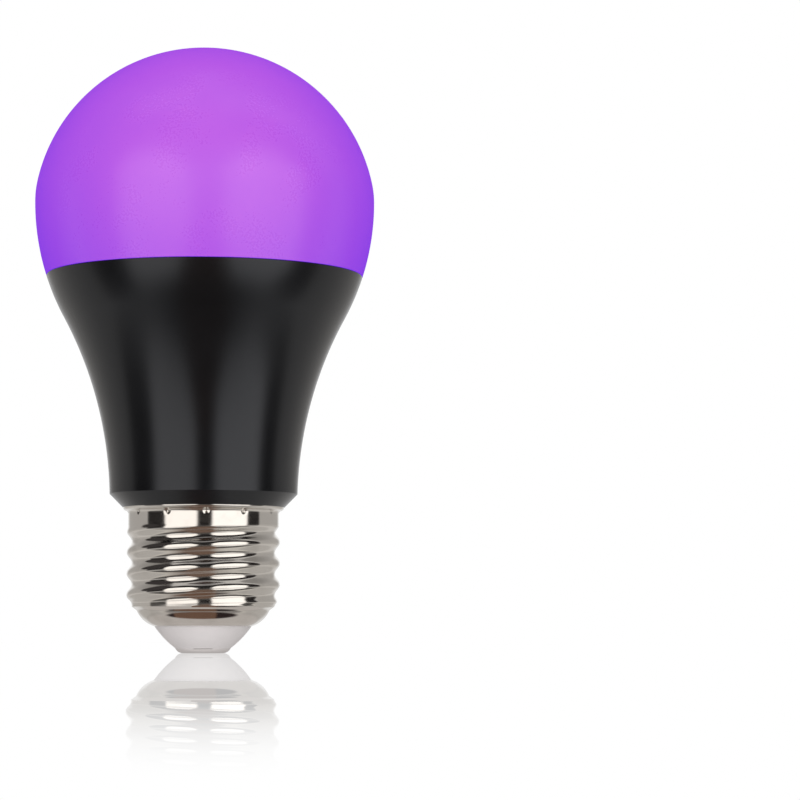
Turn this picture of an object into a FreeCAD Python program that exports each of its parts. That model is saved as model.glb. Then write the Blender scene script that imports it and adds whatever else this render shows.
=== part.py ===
import FreeCAD, Part
import math
import os
from FreeCAD import Vector

# Ultraviolet lamp of the A19 outline on an E26 screw cap, in millimetres.
# The lamp stands on its centre contact: that face is z = 0 and the lamp's axis is Z.

# Outline of the dome and the housing, seen from the side
equator_d = 58.4
equator_z = 77.5
crown_turn = 12.0
shoulder_radius = 16.0
flank_radius = 42.0
neck_d = 32.12
neck_z = 25.5
seam_z = 64.7

# Diffuser
diffuser_wall = 1.5
seam_shoulder = 2.4
skirt_wall = 1.4
skirt_length = 2.1
bead_height = 0.3
bead_drop = 1.2

# Housing
housing_wall = 1.8
chamfer_top_z = 27.15
chamfer_depth = 2.3
chamfer_width = 2.25
sleeve_wall = 1.6
sleeve_bottom_z = 11.5
rail_thickness = 1.2
rail_reach = 2.6
rail_top_z = 29.0

# Screw cap
crest_d = 26.2
root_d = 24.5
pitch = 3.629
thread_start = 8.1
thread_low_z = 7.9
thread_high_z = 21.9
thread_fade = 1.5
thread_steps = 40
shell_sections = 24
sheet = 0.3
band_d = 25.8
lip_reach = 0.88
lip_height = 1.1
bowl_d = 24.4
bowl_shoulder_d = 22.7
bowl_shoulder_z = 7.3
bowl_mid_d = 20.6
bowl_mid_z = 5.75
rim_d = 16.8
rim_z = 4.6
dimple_count = 12
dimple_ball = 0.6
dimple_depth = 0.3
dimple_drop = 1.2
dimple_turn = 2.0

# Insulator and centre contact
contact_d = 9.0
contact_thickness = 0.8
contact_edge = 0.25
rivet_d = 3.2
rivet_bore = 1.3
rivet_length = 5.4
insulator_foot_d = 9.6
insulator_shoulder_d = 13.2
insulator_shoulder_z = 2.5
insulator_collar_d = 18.6
insulator_top_z = 7.4

# Heat sink, light board and what is on it
sink_wall = 1.0
sink_bottom_z = 34.0
sink_hole_d = 8.0
board_gap = 0.6
board_thickness = 1.0
light_width = 3.5
light_depth = 2.8
light_height = 0.7
light_window_d = 2.2
light_window_depth = 0.15
light_edge = 0.12
outer_ring_inset = 7.3
outer_ring_count = 12
inner_ring_share = 0.55
inner_ring_count = 6
inner_ring_turn = 15.0
screw_ring_inset = 3.3
screw_count = 3
screw_turn = 45.0
screw_d = 2.4
screw_length = 4.0
screw_head_d = 4.2
screw_head_height = 1.5
screw_head_side = 0.5
screw_slot = 0.5
boss_wall = 1.0
boss_depth = 2.2
pin_side = 0.8
pin_spacing = 2.54
pin_foot = 3.0
pin_overrun = 0.7
socket_width = 6.0
socket_depth = 3.0
socket_height = 2.6
socket_edge = 0.3

# Driver board, standing on the lamp's axis across Y
driver_thickness = 1.2
driver_rise = 5.5
driver_step = 15.0
driver_headroom = 4.0
driver_edge_gap = 0.95
driver_side_gap = 1.1
lead_d = 0.6
solder_length = 2.0

# Parts on the driver board: each size is along X, out from the board, and along Z
film_size = (9.0, 4.6, 8.0)
film_rise = 1.4
film_edge = 0.5
film_pitch = 7.5
bulk_d = 8.0
bulk_length = 13.0
bulk_rise = 3.1
bulk_pitch = 3.5
output_d = 6.3
output_length = 9.0
output_drop = 13.5
output_pitch = 2.5
can_edge = 0.45
can_groove_z = 1.5
can_groove_d = 0.8
can_groove_depth = 0.25
rectifier_size = (4.8, 2.4, 3.9)
rectifier_rise = 6.4
rectifier_legs = 2
rectifier_leg_width = 0.7
chip_size = (3.9, 1.5, 4.9)
chip_rise = 5.7
chip_legs = 4
chip_leg_width = 0.4
package_standoff = 0.1
package_edge = 0.3
leg_sheet = 0.2
leg_reach = 0.3
leg_foot = 0.8
resistor_size = (3.2, 0.6, 1.6)
resistor_rise = 1.3
resistor_spacing = 4.4
resistor_count = 5
core_width = 11.0
core_thickness = 5.0
core_height = 10.5
core_leg = 2.4
core_yoke = 2.0
core_drop = 12.5
bobbin_flange = 0.8
bobbin_tube = 0.5
fuse_d = 3.4
fuse_length = 7.0
fuse_edge = 0.7
fuse_gap = 1.4
tube_wall = 0.3
tube_overhang = 0.6
wire_d = 1.0
wire_x = 3.0

# How far a cutting tool runs past the face it cuts
overrun = 1.0

# Clearances between neighbours
push_fit = 0.1
slide_fit = 0.15
loose_fit = 0.3

# Worked out from the sizes above
equator_r = equator_d / 2
flank_centre = (equator_r - flank_radius, equator_z)
shoulder_centre = (equator_r - shoulder_radius, equator_z)
crown_radius = shoulder_radius + shoulder_centre[0] / math.cos(math.radians(crown_turn))
crown_centre = (0.0, equator_z - shoulder_centre[0] * math.tan(math.radians(crown_turn)))
neck_out = neck_d / 2 - flank_centre[0]
neck_down = equator_z - neck_z
waist_radius = (neck_out**2 + neck_down**2 - flank_radius**2) / (2 * (flank_radius - neck_out))
waist_centre = (neck_d / 2 + waist_radius, neck_z)
flank_turn = math.asin(neck_down / (flank_radius + waist_radius))
housing_bottom_z = chamfer_top_z - chamfer_depth
crest_r = crest_d / 2
root_r = root_d / 2
band_r = band_d / 2
mean_r = (crest_r + root_r) / 2
thread_height = (crest_r - root_r) / 2
sleeve_upper_r = band_r - sheet - push_fit
sleeve_lower_r = root_r - sheet - push_fit
sleeve_bore_r = sleeve_lower_r - sleeve_wall
lip_z = housing_bottom_z - lip_height
lip_radius = (lip_reach**2 + lip_height**2) / (4 * lip_reach)
lip_turn = math.asin(lip_height / (2 * lip_radius))
dimple_z = housing_bottom_z - dimple_drop
dimple_centre_r = band_r + dimple_ball - dimple_depth
seam_r = flank_centre[0] + math.sqrt(flank_radius**2 - (seam_z - equator_z) ** 2)
skirt_r = seam_r - seam_shoulder
counterbore_r = skirt_r + slide_fit
skirt_bottom_z = seam_z - skirt_length
sink_top_z = skirt_bottom_z - push_fit
ledge_z = sink_top_z - sink_wall
light_board_top_z = sink_top_z + board_thickness
light_board_r = skirt_r - skirt_wall - board_gap
outer_ring_d = 2 * (light_board_r - outer_ring_inset)
inner_ring_d = inner_ring_share * outer_ring_d
screw_ring_d = 2 * (light_board_r - screw_ring_inset)
driver_top_z = ledge_z - driver_headroom
output_z = driver_top_z - output_drop
core_z = driver_top_z - core_drop
driver_face = driver_thickness / 2
driver_bottom_z = sleeve_bottom_z + driver_rise
driver_step_z = driver_bottom_z + driver_step
driver_low_width = 2 * (sleeve_bore_r - driver_edge_gap)
sink_inset = housing_wall + loose_fit + sink_wall
sink_bottom_drop = sink_bottom_z - waist_centre[1]
sink_bore_r = waist_centre[0] - math.sqrt((waist_radius + sink_inset) ** 2 - sink_bottom_drop**2)
driver_high_width = 2 * (sink_bore_r - driver_side_gap)
film_z = driver_bottom_z + film_rise
bulk_z = film_z + film_size[2] + bulk_rise
rectifier_z = driver_bottom_z + rectifier_rise
chip_z = rectifier_z + rectifier_size[2] + chip_rise
resistor_z = chip_z + chip_size[2] + resistor_rise
fuse_z = driver_bottom_z - fuse_gap - fuse_length
contact_r = contact_d / 2
insulator_bottom_z = contact_thickness
wire_out_y = math.sqrt((sleeve_lower_r - wire_d / 2) ** 2 - wire_x**2)
core_window = (core_width - 3 * core_leg) / 2
core_room = core_height - 2 * core_yoke - 2 * push_fit
tube_half_x = core_leg / 2 + push_fit
tube_half_y = core_thickness / 2 + push_fit
winding_depth = core_window - bobbin_tube - 3 * push_fit
core_y = -driver_face - tube_half_y - bobbin_tube - winding_depth - push_fit
core_middle_z = core_z + core_height / 2
half_turn_share = math.sqrt(0.5)


def point(r, z, turn=0.0):
    a = math.radians(turn)
    return Vector(r * math.cos(a), r * math.sin(a), z)


def line(a, b):
    return Part.makeLine(point(*a), point(*b))


def curve(a, b, c):
    return Part.Arc(point(*a), point(*b), point(*c)).toShape()


def arc_about(centre, radius, start, end):
    """An arc about a centre in the side view, between two angles above the horizontal."""
    places = []
    for turn in (start, (start + end) / 2, end):
        a = math.radians(turn)
        places.append((centre[0] + radius * math.cos(a), centre[1] + radius * math.sin(a)))
    return curve(*places)


def turned(edges):
    """A solid turned about the lamp's axis from a closed outline."""
    face = Part.Face(Part.Wire(Part.__sortEdges__(edges)))
    return face.revolve(Vector(0, 0, 0), Vector(0, 0, 1), 360)


def turned_points(places):
    """A solid turned from an outline of straight runs."""
    edges = [line(a, b) for a, b in zip(places, places[1:] + places[:1])]
    return turned(edges)


def block(size, centre):
    """A block of a size along X, Y and Z about a centre."""
    corner = Vector(*[c - s / 2 for c, s in zip(centre, size)])
    return Part.makeBox(*size, corner)


def block_between(side, low, high):
    """A block between two corners, on the side of X that is asked for."""
    size = [b - a for a, b in zip(low, high)]
    middle = [(a + b) / 2 for a, b in zip(low, high)]
    return block(size, (side * middle[0], middle[1], middle[2]))


def rod(d, start, end):
    run = end - start
    return Part.makeCylinder(d / 2, run.Length, start, run)


def ring_places(diameter, count, start=0.0):
    """Centres and angles of a count of places on a circle."""
    turns = [start + 360.0 * i / count for i in range(count)]
    return [(point(diameter / 2, 0, turn), turn) for turn in turns]


def wire_along(d, places):
    """A round wire through places, with a ball at each turn."""
    shape = rod(d, places[0], places[1])
    for a, b in zip(places[1:], places[2:]):
        shape = shape.fuse([Part.makeSphere(d / 2, a), rod(d, a, b)])
    return shape.removeSplitter()


def flank_r(z, inset=0.0):
    """Radius of the dome's lower flank and the housing's upper flank, moved in by a wall."""
    rise = z - flank_centre[1]
    return flank_centre[0] + math.sqrt((flank_radius - inset) ** 2 - rise**2)


def waist_r(z, inset=0.0):
    """Radius of the housing's hollow waist, moved in by a wall."""
    rise = z - waist_centre[1]
    return waist_centre[0] - math.sqrt((waist_radius + inset) ** 2 - rise**2)


def flank_arc(low_z, high_z, inset=0.0):
    radius = flank_radius - inset
    low = math.degrees(math.asin((low_z - flank_centre[1]) / radius))
    high = math.degrees(math.asin((high_z - flank_centre[1]) / radius))
    return arc_about(flank_centre, radius, low, high)


def waist_arc(low_z, high_z, inset=0.0):
    radius = waist_radius + inset
    low = 180.0 - math.degrees(math.asin((low_z - waist_centre[1]) / radius))
    high = 180.0 - math.degrees(math.asin((high_z - waist_centre[1]) / radius))
    return arc_about(waist_centre, radius, low, high)


def bend_z(inset=0.0):
    """Height where the flank passes into the waist, on an outline moved in by a wall."""
    return flank_centre[1] - (flank_radius - inset) * math.sin(flank_turn)


# The moulded diffuser: a thin dome with a skirt that snaps into the housing
def diffuser():
    wall = diffuser_wall
    inner_r = skirt_r - skirt_wall
    inner_z = seam_z + wall
    bead_z = seam_z - bead_drop
    edges = [
        arc_about(crown_centre, crown_radius, 90.0, crown_turn),
        arc_about(shoulder_centre, shoulder_radius, crown_turn, 0.0),
        flank_arc(seam_z, equator_z),
        line((seam_r, seam_z), (skirt_r, seam_z)),
        line((skirt_r, seam_z), (skirt_r, bead_z + bead_height)),
        curve(
            (skirt_r, bead_z + bead_height),
            (skirt_r + bead_height / 2, bead_z),
            (skirt_r, bead_z - bead_height),
        ),
        line((skirt_r, bead_z - bead_height), (skirt_r, skirt_bottom_z)),
        line((skirt_r, skirt_bottom_z), (inner_r, skirt_bottom_z)),
        line((inner_r, skirt_bottom_z), (inner_r, inner_z)),
        line((inner_r, inner_z), (flank_r(inner_z, wall), inner_z)),
        flank_arc(inner_z, equator_z, wall),
        arc_about(shoulder_centre, shoulder_radius - wall, crown_turn, 0.0),
        arc_about(crown_centre, crown_radius - wall, 90.0, crown_turn),
        line(
            (0.0, crown_centre[1] + crown_radius - wall),
            (0.0, crown_centre[1] + crown_radius),
        ),
    ]
    return turned(edges)


# The moulded housing: waisted outside, with a ledge for the heat sink, a sleeve that goes into the cap,
# and rails that hold the driver board
def housing():
    wall = housing_wall
    bead_z = seam_z - bead_drop
    groove = bead_height + slide_fit
    chamfer_r = waist_r(chamfer_top_z)
    bottom_r = chamfer_r - chamfer_width
    inner_bend_z = bend_z(wall)
    inner_low_z = chamfer_top_z
    step_z = thread_high_z + push_fit
    edges = [
        flank_arc(bend_z(), seam_z),
        waist_arc(chamfer_top_z, bend_z()),
        line((chamfer_r, chamfer_top_z), (bottom_r, housing_bottom_z)),
        line((bottom_r, housing_bottom_z), (sleeve_upper_r, housing_bottom_z)),
        line((sleeve_upper_r, housing_bottom_z), (sleeve_upper_r, step_z)),
        line((sleeve_upper_r, step_z), (sleeve_lower_r, step_z)),
        line((sleeve_lower_r, step_z), (sleeve_lower_r, sleeve_bottom_z)),
        line((sleeve_lower_r, sleeve_bottom_z), (sleeve_bore_r, sleeve_bottom_z)),
        line((sleeve_bore_r, sleeve_bottom_z), (sleeve_bore_r, housing_bottom_z)),
        line((sleeve_bore_r, housing_bottom_z), (waist_r(inner_low_z, wall), inner_low_z)),
        waist_arc(inner_low_z, inner_bend_z, wall),
        flank_arc(inner_bend_z, ledge_z, wall),
        line((flank_r(ledge_z, wall), ledge_z), (counterbore_r, ledge_z)),
        line((counterbore_r, ledge_z), (counterbore_r, bead_z - groove)),
        curve(
            (counterbore_r, bead_z - groove),
            (counterbore_r + bead_height / 2 + slide_fit / 2, bead_z),
            (counterbore_r, bead_z + groove),
        ),
        line((counterbore_r, bead_z + groove), (counterbore_r, seam_z)),
        line((counterbore_r, seam_z), (seam_r, seam_z)),
    ]
    shape = turned(edges)
    rails = []
    slot = driver_thickness / 2 + slide_fit
    for side in (-1, 1):
        for face in (-1, 1):
            height = rail_top_z - sleeve_bottom_z
            reach = rail_reach + sleeve_wall / 2
            x = side * (sleeve_bore_r + sleeve_wall / 2 - reach / 2)
            y = face * (slot + rail_thickness / 2)
            z = sleeve_bottom_z + height / 2
            rails.append(block((reach, rail_thickness, height), (x, y, z)))
    shape = shape.fuse(rails)
    pockets = []
    sleeve_zone = Part.makeCylinder(crest_r + dimple_ball, housing_bottom_z - push_fit)
    for place, turn in ring_places(2 * dimple_centre_r, dimple_count, dimple_turn):
        centre = place + Vector(0, 0, dimple_z)
        pockets.append(Part.makeSphere(dimple_ball + sheet + push_fit, centre).common(sleeve_zone))
    notch_size = (wire_d + 2 * slide_fit, 3 * sleeve_wall, 2 * pitch)
    notch = block(notch_size, (wire_x, wire_out_y, sleeve_bottom_z))
    return shape.cut(pockets + [notch]).removeSplitter()


def start_of(edge):
    return edge.valueAt(edge.FirstParameter)


def end_of(edge):
    return edge.valueAt(edge.LastParameter)


def thread_r(z, turn):
    """Radius of the cap's outside at a height and angle: a rolled thread that fades out at both ends."""
    phase = 2 * math.pi * (z - thread_start) / pitch - math.radians(turn)
    low = min(max((z - thread_low_z) / thread_fade, 0.0), 1.0)
    high = min(max((thread_high_z - z) / thread_fade, 0.0), 1.0)
    low = low * low * (3 - 2 * low)
    high = high * high * (3 - 2 * high)
    level = mean_r + (bowl_d / 2 - mean_r) * (1 - low) + (band_r - mean_r) * (1 - high)
    return level + thread_height * math.cos(phase) * low * high


# The flared lip has two bends: the lower one turns the sheet outwards, the upper one turns it up again
def lip_low(share, inset):
    """A place on the lower bend, by its share of the bend, on the sheet's outside or inset from it."""
    turn = share * lip_turn
    reach = lip_radius + inset
    return band_r + lip_radius - reach * math.cos(turn), lip_z + reach * math.sin(turn)


def lip_high(share, inset):
    turn = (1 - share) * lip_turn
    reach = lip_radius - inset
    centre_r = band_r + lip_reach - lip_radius
    return centre_r + reach * math.cos(turn), housing_bottom_z - reach * math.sin(turn)


# The cap's shell, rolled from thin sheet: lip, plain band, thread, bowl and rim
def shell_section(turn):
    """The sheet's closed outline at one angle."""

    def spline(inset):
        rise = (thread_high_z - thread_low_z) / thread_steps
        heights = [thread_low_z + rise * i for i in range(thread_steps + 1)]
        places = [point(thread_r(z, turn) - inset, z, turn) for z in heights]
        run = Part.BSplineCurve()
        run.interpolate(places)
        return run.toShape(), places[0], places[-1]

    def side(inset):
        thread, low, high = spline(inset)
        band = Part.makeLine(high, point(*lip_low(0.0, inset), turn))
        bends = []
        for bend in (lip_low, lip_high):
            places = [point(*bend(share, inset), turn) for share in (0.0, 0.5, 1.0)]
            bends.append(Part.Arc(*places).toShape())
        lean = half_turn_share * inset
        shoulder = point(bowl_shoulder_d / 2 - lean, bowl_shoulder_z + lean, turn)
        bowl = Part.Arc(
            point(rim_d / 2, rim_z + inset, turn),
            point(bowl_mid_d / 2 - lean, bowl_mid_z + lean, turn),
            shoulder,
        ).toShape()
        return [bowl, Part.makeLine(shoulder, low), thread, band] + bends

    outer = side(0.0)
    inner = side(sheet)
    top = Part.makeLine(end_of(outer[-1]), end_of(inner[-1]))
    rim = Part.makeLine(start_of(inner[0]), start_of(outer[0]))
    return Part.Wire(outer + [top] + inner[::-1] + [rim])


def screw_shell():
    outlines = [shell_section(360.0 * i / shell_sections) for i in range(shell_sections)]
    shape = Part.makeLoft(outlines, True, False, True)
    bumps = []
    pits = []
    middle = sheet / 2
    low, high = [[bend(share, middle) for share in (0.0, 0.5, 1.0)] for bend in (lip_low, lip_high)]
    inside = turned([
        line((0.0, thread_high_z), (low[0][0], thread_high_z)),
        line((low[0][0], thread_high_z), low[0]),
        curve(*low),
        curve(*high),
        line(high[-1], (0.0, housing_bottom_z)),
        line((0.0, housing_bottom_z), (0.0, thread_high_z)),
    ])
    for place, turn in ring_places(2 * dimple_centre_r, dimple_count, dimple_turn):
        centre = place + Vector(0, 0, dimple_z)
        bumps.append(Part.makeSphere(dimple_ball + sheet, centre).common(inside))
        pits.append(Part.makeSphere(dimple_ball, centre))
    return shape.fuse(bumps).cut(pits)


# The insulator: a moulded plug through the bowl's hole, with a collar that rests inside the bowl
def insulator():
    neck_r = rim_d / 2 - push_fit
    foot_r = insulator_foot_d / 2
    shoulder_r = insulator_shoulder_d / 2
    collar_r = insulator_collar_d / 2
    bore_r = rivet_d / 2 + push_fit / 2
    throat_z = rim_z + sheet + loose_fit
    flare_z = throat_z + collar_r - neck_r
    edges = [
        line((bore_r, insulator_bottom_z), (foot_r, insulator_bottom_z)),
        curve((foot_r, insulator_bottom_z), (shoulder_r, insulator_shoulder_z), (neck_r, rim_z)),
        line((neck_r, rim_z), (neck_r, throat_z)),
        line((neck_r, throat_z), (collar_r, flare_z)),
        line((collar_r, flare_z), (collar_r, insulator_top_z)),
        line((collar_r, insulator_top_z), (bore_r, insulator_top_z)),
        line((bore_r, insulator_top_z), (bore_r, insulator_bottom_z)),
    ]
    return turned(edges)


# The centre contact: a pressed disc with a hollow rivet that takes the live lead
def contact():
    rivet_r = rivet_d / 2
    bore_r = rivet_bore / 2
    top_z = contact_thickness + rivet_length
    round_r = contact_edge
    round_in = round_r * (1 - half_turn_share)
    floor_z = contact_thickness / 2
    edges = [
        line((0.0, 0.0), (contact_r - round_r, 0.0)),
        curve(
            (contact_r - round_r, 0.0),
            (contact_r - round_in, round_in),
            (contact_r, round_r),
        ),
        line((contact_r, round_r), (contact_r, contact_thickness)),
        line((contact_r, contact_thickness), (rivet_r, contact_thickness)),
        line((rivet_r, contact_thickness), (rivet_r, top_z)),
        line((rivet_r, top_z), (bore_r, top_z)),
        line((bore_r, top_z), (bore_r, floor_z)),
        line((bore_r, floor_z), (0.0, floor_z)),
        line((0.0, floor_z), (0.0, 0.0)),
    ]
    return turned(edges)


# The heat sink: a pressed cup whose flange rests on the housing's ledge
def heat_sink():
    gap = housing_wall + loose_fit
    inset = sink_inset
    rim_r = counterbore_r - slide_fit
    under_z = ledge_z - loose_fit
    outer_bend = bend_z(gap)
    inner_bend = bend_z(inset)
    hole_r = sink_hole_d / 2
    edges = [
        line((hole_r, sink_top_z), (rim_r, sink_top_z)),
        line((rim_r, sink_top_z), (rim_r, ledge_z)),
        line((rim_r, ledge_z), (flank_r(under_z, gap), ledge_z)),
        line((flank_r(under_z, gap), ledge_z), (flank_r(under_z, gap), under_z)),
        flank_arc(outer_bend, under_z, gap),
        waist_arc(sink_bottom_z, outer_bend, gap),
        line((waist_r(sink_bottom_z, gap), sink_bottom_z), (sink_bore_r, sink_bottom_z)),
        waist_arc(sink_bottom_z, inner_bend, inset),
        flank_arc(inner_bend, ledge_z, inset),
        line((flank_r(ledge_z, inset), ledge_z), (hole_r, ledge_z)),
        line((hole_r, ledge_z), (hole_r, sink_top_z)),
    ]
    shape = turned(edges)
    bosses = []
    holes = []
    for place, turn in ring_places(screw_ring_d, screw_count, screw_turn):
        foot = place + Vector(0, 0, ledge_z - boss_depth)
        top = place + Vector(0, 0, sink_top_z)
        past = Vector(0, 0, overrun)
        bosses.append(rod(screw_d + 2 * boss_wall, foot, top - Vector(0, 0, sink_wall / 2)))
        holes.append(rod(screw_d, foot - past, top + past))
    return shape.fuse(bosses).cut(holes).removeSplitter()


# The light board: a metal-cored disc with holes for the screws and the pins
def light_board():
    plate = Part.makeCylinder(light_board_r, board_thickness, Vector(0, 0, sink_top_z))
    holes = []
    for place, turn in ring_places(screw_ring_d, screw_count, screw_turn):
        low = place + Vector(0, 0, sink_top_z - overrun)
        high = place + Vector(0, 0, light_board_top_z + overrun)
        holes.append(rod(screw_d + 2 * slide_fit, low, high))
    slot_size = (pin_spacing + 2 * pin_side, 2 * pin_side, 3 * board_thickness)
    holes.append(block(slot_size, (0.0, driver_face + pin_side / 2, sink_top_z)))
    return plate.cut(holes)


# The light packages: small blocks with a round window, turned with their ring
def lights():
    pieces = []
    rings = (
        (outer_ring_d, outer_ring_count, 0.0),
        (inner_ring_d, inner_ring_count, inner_ring_turn),
    )
    window_z = light_height - light_window_depth
    for diameter, count, start in rings:
        for place, turn in ring_places(diameter, count, start):
            body = block((light_depth, light_width, light_height), (0.0, 0.0, light_height / 2))
            rim = [e for e in body.Edges if e.BoundBox.ZMin > light_height / 2]
            body = body.makeChamfer(light_edge, rim)
            window = Part.makeCylinder(light_window_d / 2, light_height, Vector(0, 0, window_z))
            body = body.cut(window)
            body.rotate(Vector(0, 0, 0), Vector(0, 0, 1), turn)
            body.translate(place + Vector(0, 0, light_board_top_z))
            pieces.append(body)
    return Part.makeCompound(pieces)


# The screws that hold the light board: a domed head with a cross slot
def board_screws():
    pieces = []
    head_r = screw_head_d / 2
    dome_z = screw_head_side + (screw_head_height - screw_head_side) * half_turn_share
    for place, turn in ring_places(screw_ring_d, screw_count, screw_turn):
        edges = [
            line((0.0, -screw_length), (screw_d / 2, -screw_length)),
            line((screw_d / 2, -screw_length), (screw_d / 2, 0.0)),
            line((screw_d / 2, 0.0), (head_r, 0.0)),
            line((head_r, 0.0), (head_r, screw_head_side)),
            curve((head_r, screw_head_side), (head_r * half_turn_share, dome_z), (0.0, screw_head_height)),
            line((0.0, screw_head_height), (0.0, -screw_length)),
        ]
        screw = turned(edges)
        slots = []
        for size in ((head_r, screw_slot), (screw_slot, head_r)):
            slots.append(block((*size, screw_head_height), (0.0, 0.0, screw_head_height)))
        screw = screw.cut(slots)
        screw.translate(place + Vector(0, 0, light_board_top_z))
        pieces.append(screw)
    return Part.makeCompound(pieces)


def pin_centres():
    y = driver_face + pin_side / 2
    return [(side * pin_spacing / 2, y) for side in (-1, 1)]


# The pins that carry the current up to the light board
def output_pins():
    low_z = driver_top_z - pin_foot
    top_z = light_board_top_z + socket_height + pin_overrun
    pieces = []
    for x, y in pin_centres():
        height = top_z - low_z
        pieces.append(block((pin_side, pin_side, height), (x, y, low_z + height / 2)))
    return Part.makeCompound(pieces)


# The socket on the light board that grips the pins
def pin_socket():
    y = driver_face + pin_side / 2
    z = light_board_top_z + socket_height / 2
    body = block((socket_width, socket_depth, socket_height), (0.0, y, z))
    uprights = [e for e in body.Edges if e.BoundBox.ZLength > socket_height / 2]
    body = body.makeChamfer(socket_edge, uprights)
    hole = pin_side + push_fit
    holes = [block((hole, hole, 2 * socket_height), (x, py, z)) for x, py in pin_centres()]
    return body.cut(holes)


# The driver board: narrow in the sleeve, wider above, with holes for the leads
def driver_board():
    low = driver_low_width / 2
    high = driver_high_width / 2
    step = high - low
    outline = [
        (-low, driver_bottom_z),
        (low, driver_bottom_z),
        (low, driver_step_z),
        (high, driver_step_z + step),
        (high, driver_top_z),
        (-high, driver_top_z),
        (-high, driver_step_z + step),
        (-low, driver_step_z),
    ]
    corners = [Vector(x, -driver_face, z) for x, z in outline]
    plate = Part.Face(Part.makePolygon(corners + corners[:1]))
    plate = plate.extrude(Vector(0, driver_thickness, 0))
    return plate.cut(lead_holes())


def lead_places():
    """Where each part's leads pass through the driver board, as x and z."""
    rows = {
        "film": (film_pitch, film_z + film_size[2] / 2),
        "bulk": (bulk_pitch, bulk_z - lead_d),
        "output": (output_pitch, output_z - lead_d),
    }
    return {name: [(-gap / 2, z), (gap / 2, z)] for name, (gap, z) in rows.items()}


def lead_holes():
    holes = []
    for places in lead_places().values():
        for x, z in places:
            start = Vector(x, -driver_face - overrun, z)
            end = Vector(x, driver_face + overrun, z)
            holes.append(rod(lead_d + 2 * push_fit, start, end))
    return holes


def through_lead(x, z, side, reach):
    """A lead that starts a reach out from the board on one side and ends past its far face."""
    start = Vector(x, side * (driver_face + reach), z)
    end = Vector(x, -side * (driver_face + lead_d), z)
    return rod(lead_d, start, end)


# The film capacitor: a moulded box flat on the board
def film_capacitor():
    width, depth, height = film_size
    y = -driver_face - depth / 2
    body = block(film_size, (0.0, y, film_z + height / 2))
    body = body.makeFillet(film_edge, [e for e in body.Edges if e.BoundBox.YMax < y])
    leads = [through_lead(x, z, -1, depth / 2) for x, z in lead_places()["film"]]
    return body.fuse(leads)


def rounded_rod(d, length, edge):
    """A rod along Z with both ends rounded."""
    body = Part.makeCylinder(d / 2, length)
    return body.makeFillet(edge, [e for e in body.Edges if e.Curve.TypeId == "Part::GeomCircle"])


def can(d, length, side, base_z, places):
    """A can capacitor that lies along Z against the board, with its leads bent through it."""
    r = d / 2
    groove_r = can_groove_d / 2
    groove = Part.makeTorus(r + groove_r - can_groove_depth, groove_r, Vector(0, 0, can_groove_z))
    body = rounded_rod(d, length, can_edge).cut(groove)
    y = side * (driver_face + slide_fit + r)
    far_y = -side * (driver_face + lead_d)
    body.translate(Vector(0, y, base_z))
    leads = []
    for x, z in places:
        bends = [Vector(x, y, base_z + lead_d), Vector(x, y, z), Vector(x, far_y, z)]
        leads.append(wire_along(lead_d, bends))
    return body.fuse(leads)


def bulk_capacitor():
    return can(bulk_d, bulk_length, -1, bulk_z, lead_places()["bulk"])


def output_capacitor():
    return can(output_d, output_length, 1, output_z, lead_places()["output"])


def packaged(size, low_z, legs, leg_width):
    """A flat moulded package on the board's back, with legs that bend down to the board."""
    width, depth, height = size
    y = driver_face + package_standoff + depth / 2
    body = block(size, (0.0, y, low_z + height / 2))
    body = body.makeChamfer(package_edge, [e for e in body.Edges if e.BoundBox.YMin > y])
    post_x = width / 2 + leg_reach
    arm_x = width / 2 - leg_sheet
    foot_x = post_x + leg_foot
    pieces = []
    for side in (-1, 1):
        for i in range(legs):
            low = low_z + height * (i + 0.5) / legs - leg_width / 2
            high = low + leg_width
            foot = ((post_x, driver_face, low), (foot_x, driver_face + leg_sheet, high))
            post = ((post_x, driver_face, low), (post_x + leg_sheet, y, high))
            arm = ((arm_x, y - leg_sheet, low), (post_x + leg_sheet, y, high))
            pieces += [block_between(side, *corners) for corners in (foot, post, arm)]
    return body.fuse(pieces).removeSplitter()


def bridge_rectifier():
    return packaged(rectifier_size, rectifier_z, rectifier_legs, rectifier_leg_width)


def driver_chip():
    return packaged(chip_size, chip_z, chip_legs, chip_leg_width)


# The chip resistors, in a column across the board's back
def chip_resistors():
    width, depth, height = resistor_size
    pieces = []
    for i in range(resistor_count):
        x = (i - (resistor_count - 1) / 2) * resistor_spacing
        pieces.append(block(resistor_size, (x, driver_face + depth / 2, resistor_z + height / 2)))
    return Part.makeCompound(pieces)


# The choke: a ferrite core of two E shapes, the bobbin round its middle leg, and the winding on that
def choke_core():
    middle = (0.0, core_y, core_middle_z)
    shape = block((core_width, core_thickness, core_height), middle)
    cuts = []
    for side in (-1, 1):
        x = side * (core_leg + core_window) / 2
        cut_size = (core_window, 2 * core_thickness, core_height - 2 * core_yoke)
        cuts.append(block(cut_size, (x, core_y, core_middle_z)))
    return shape.cut(cuts)


def choke_bobbin():
    middle = (0.0, core_y, core_middle_z)
    tube_size = (2 * (tube_half_x + bobbin_tube), 2 * (tube_half_y + bobbin_tube), core_room)
    flange_x = 2 * (tube_half_x + core_window - 2 * push_fit)
    flange_y = 2 * (-driver_face - core_y)
    flanges = []
    for side in (-1, 1):
        z = core_middle_z + side * (core_room - bobbin_flange) / 2
        flanges.append(block((flange_x, flange_y, bobbin_flange), (0.0, core_y, z)))
    hole = block((2 * tube_half_x, 2 * tube_half_y, 2 * core_room), middle)
    return block(tube_size, middle).fuse(flanges).cut(hole).removeSplitter()


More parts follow.
